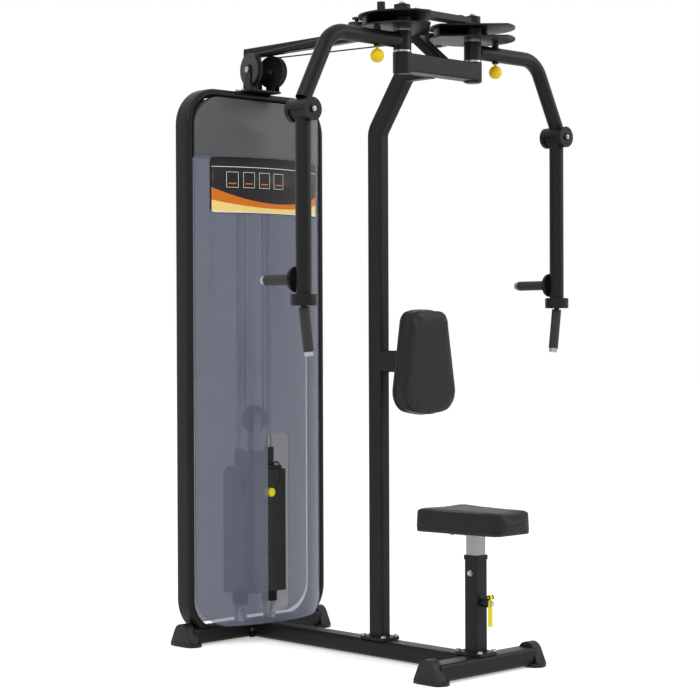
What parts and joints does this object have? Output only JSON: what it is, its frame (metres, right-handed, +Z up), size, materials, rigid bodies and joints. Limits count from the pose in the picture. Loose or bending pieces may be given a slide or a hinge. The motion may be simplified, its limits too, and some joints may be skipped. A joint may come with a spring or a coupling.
{
  "type": "pec deck machine",
  "caption": "Selectorised chest-fly and rear-deltoid machine: two swinging arms on range cams, cabled to a pinned weight stack in a shrouded tower, with a seat and back pad.",
  "frame": {"origin": "on the floor, at the middle of the machine's length and width", "axes": "+Z up, +Y towards the weight tower, -Y the way the seated user faces; left and right in the names are -X and +X, as seen by someone standing in front of the seat and looking at the tower"},
  "size_m": [1.264, 1.2876, 2.1172],
  "materials": {
    "powder_coat": "fine textured powder coat, near black",
    "dark_metal": "satin black paint",
    "cast_plate": "painted casting, matt black",
    "pulley_nylon": "black moulded nylon",
    "cap_moulding": "satin dark grey moulding",
    "tinted_sheet": "smoke-tinted clear sheet, gloss",
    "foot_rubber": "moulded rubber, matt",
    "grip_rubber": "foamed rubber, matt",
    "pad_vinyl": "black grained upholstery vinyl",
    "bright_steel": "zinc-plated or turned steel",
    "chrome_post": "chrome plate",
    "cable_sleeve": "black nylon-sleeved steel cable",
    "yellow_moulding": "yellow moulded plastic"
  },
  "bodies": {
    "frame": {"rear_cross_tube": "powder_coat", "front_cross_tube": "powder_coat", "base_beam": "powder_coat", "foot_rear_left": "foot_rubber", "foot_rear_right": "foot_rubber", "foot_front_left": "foot_rubber", "foot_front_right": "foot_rubber", "column": "powder_coat", "crossbeam": "powder_coat", "top_beam": "powder_coat", "pulley_bracket": "powder_coat", "tower_frame": "powder_coat", "top_cap": "cap_moulding", "front_shroud": "tinted_sheet", "rear_shroud": "tinted_sheet", "guide_rods": "bright_steel", "bump_stops": "foot_rubber", "rest_plates": "cast_plate", "back_pad_bracket": "powder_coat", "back_pad": "pad_vinyl", "seat_sleeve": "powder_coat", "frame_bolts": "bright_steel", "pivot_shafts": "bright_steel", "thrust_washers": "bright_steel", "shaft_tie_plate": "dark_metal", "arm_cables": "cable_sleeve", "lift_cables": "cable_sleeve"},
    "stack": {"head_plate": "cast_plate", "lifted_plates": "cast_plate", "selector_rod": "bright_steel", "pulley_yoke": "bright_steel", "cable_loop": "cable_sleeve", "pin_lanyard": "cable_sleeve"},
    "selector_pin": {"selector_pin": "yellow_moulding"},
    "floating_pulley": {"floating_pulley": "pulley_nylon"},
    "tower_pulley_left": {"tower_pulley_left": "pulley_nylon"},
    "tower_pulley_right": {"tower_pulley_right": "pulley_nylon"},
    "left_cam": {"range_cam_left": "dark_metal"},
    "left_arm": {"upper_arm_left": "powder_coat", "knuckle_bolt_left": "bright_steel"},
    "left_pull_pin": {"pull_pin_left": "yellow_moulding"},
    "left_handle": {"lower_arm_left": "powder_coat", "grips_left": "grip_rubber", "grip_ends_left": "bright_steel"},
    "right_cam": {"range_cam_right": "dark_metal"},
    "right_arm": {"upper_arm_right": "powder_coat", "knuckle_bolt_right": "bright_steel"},
    "right_pull_pin": {"pull_pin_right": "yellow_moulding"},
    "right_handle": {"lower_arm_right": "powder_coat", "grips_right": "grip_rubber", "grip_ends_right": "bright_steel"},
    "guide_spool_left_outer": {"guide_spool_left_outer": "pulley_nylon"},
    "guide_spool_left_inner": {"guide_spool_left_inner": "pulley_nylon"},
    "guide_spool_right_inner": {"guide_spool_right_inner": "pulley_nylon"},
    "guide_spool_right_outer": {"guide_spool_right_outer": "pulley_nylon"},
    "seat": {"seat_post": "chrome_post", "seat_pad": "pad_vinyl"},
    "seat_lock_pin": {"seat_lock_pin": "bright_steel"},
    "seat_lever": {"seat_lever": "yellow_moulding"}
  },
  "joints": [
    {"name": "stack_lift", "type": "slide", "parent": "frame", "child": "stack", "axis": [0, 0, 1], "range_m": [0, 0.1345], "deforming": ["lift_cables"]},
    {"name": "selector_pin_pull", "type": "slide", "parent": "stack", "child": "selector_pin", "axis": [0, -1, 0], "range_m": [0, 0.075]},
    {"name": "floating_pulley_spin", "type": "hinge", "parent": "stack", "child": "floating_pulley", "pos_m": [0, 0.56925, 0.7702], "axis": [0, 1, 0], "continuous": true},
    {"name": "tower_pulley_left_spin", "type": "hinge", "parent": "frame", "child": "tower_pulley_left", "pos_m": [-0.05043, 0.51997, 1.9959], "axis": [0.9857, -0.1686, 0], "range_deg": [0, 155]},
    {"name": "tower_pulley_right_spin", "type": "hinge", "parent": "frame", "child": "tower_pulley_right", "pos_m": [0.05043, 0.51997, 1.9959], "axis": [0.9857, 0.1686, 0], "range_deg": [0, 155]},
    {"name": "left_cam_swing", "type": "hinge", "parent": "frame", "child": "left_cam", "pos_m": [-0.165, -0.32475, 2.0459], "axis": [0, 0, 1], "range_deg": [0, 60]},
    {"name": "left_arm_adjust", "type": "hinge", "parent": "left_cam", "child": "left_arm", "pos_m": [-0.165, -0.32475, 1.9883], "axis": [0, 0, 1], "range_deg": [-45, 30]},
    {"name": "left_range_pin", "type": "slide", "parent": "left_arm", "child": "left_pull_pin", "axis": [0, 0, -1], "range_m": [-0.006, 0.004], "stiffness_N_per_m": 400, "springref_m": -0.006},
    {"name": "left_handle_swing", "type": "hinge", "parent": "left_arm", "child": "left_handle", "pos_m": [-0.592, -0.32475, 1.738], "axis": [0, 1, 0], "range_deg": [-12, 12]},
    {"name": "right_cam_swing", "type": "hinge", "parent": "frame", "child": "right_cam", "pos_m": [0.165, -0.32475, 2.0459], "axis": [0, 0, -1], "range_deg": [0, 60]},
    {"name": "right_arm_adjust", "type": "hinge", "parent": "right_cam", "child": "right_arm", "pos_m": [0.165, -0.32475, 1.9883], "axis": [0, 0, -1], "range_deg": [-45, 30]},
    {"name": "right_range_pin", "type": "slide", "parent": "right_arm", "child": "right_pull_pin", "axis": [0, 0, -1], "range_m": [-0.006, 0.004], "stiffness_N_per_m": 400, "springref_m": -0.006},
    {"name": "right_handle_swing", "type": "hinge", "parent": "right_arm", "child": "right_handle", "pos_m": [0.592, -0.32475, 1.738], "axis": [0, 1, 0], "range_deg": [-12, 12]},
    {"name": "guide_spool_left_outer_spin", "type": "hinge", "parent": "frame", "child": "guide_spool_left_outer", "pos_m": [-0.193, -0.14975, 2.0459], "axis": [0, 0, 1], "continuous": true},
    {"name": "guide_spool_left_inner_spin", "type": "hinge", "parent": "frame", "child": "guide_spool_left_inner", "pos_m": [-0.137, -0.14975, 2.0459], "axis": [0, 0, 1], "continuous": true},
    {"name": "guide_spool_right_inner_spin", "type": "hinge", "parent": "frame", "child": "guide_spool_right_inner", "pos_m": [0.137, -0.14975, 2.0459], "axis": [0, 0, 1], "continuous": true},
    {"name": "guide_spool_right_outer_spin", "type": "hinge", "parent": "frame", "child": "guide_spool_right_outer", "pos_m": [0.193, -0.14975, 2.0459], "axis": [0, 0, 1], "continuous": true},
    {"name": "seat_height", "type": "slide", "parent": "frame", "child": "seat", "axis": [0, 0, 1], "range_m": [-0.04, 0.08]},
    {"name": "seat_lever_swing", "type": "hinge", "parent": "frame", "child": "seat_lever", "pos_m": [0, -0.53875, 0.246], "axis": [-1, 0, 0], "range_deg": [0, 21]},
    {"name": "seat_pin_pull", "type": "slide", "parent": "frame", "child": "seat_lock_pin", "axis": [0, -1, 0], "range_m": [0, 0.0105], "stiffness_N_per_m": 25}
  ],
  "couplings": [
    {"joint": "left_cam_swing", "follows": "stack_lift", "rad_per_m": 7.7821},
    {"joint": "right_cam_swing", "follows": "stack_lift", "rad_per_m": 7.7821},
    {"joint": "tower_pulley_left_spin", "follows": "stack_lift", "rad_per_m": 20},
    {"joint": "tower_pulley_right_spin", "follows": "stack_lift", "rad_per_m": 20},
    {"joint": "seat_pin_pull", "follows": "seat_lever_swing", "m_per_rad": 0.0285}
  ]
}
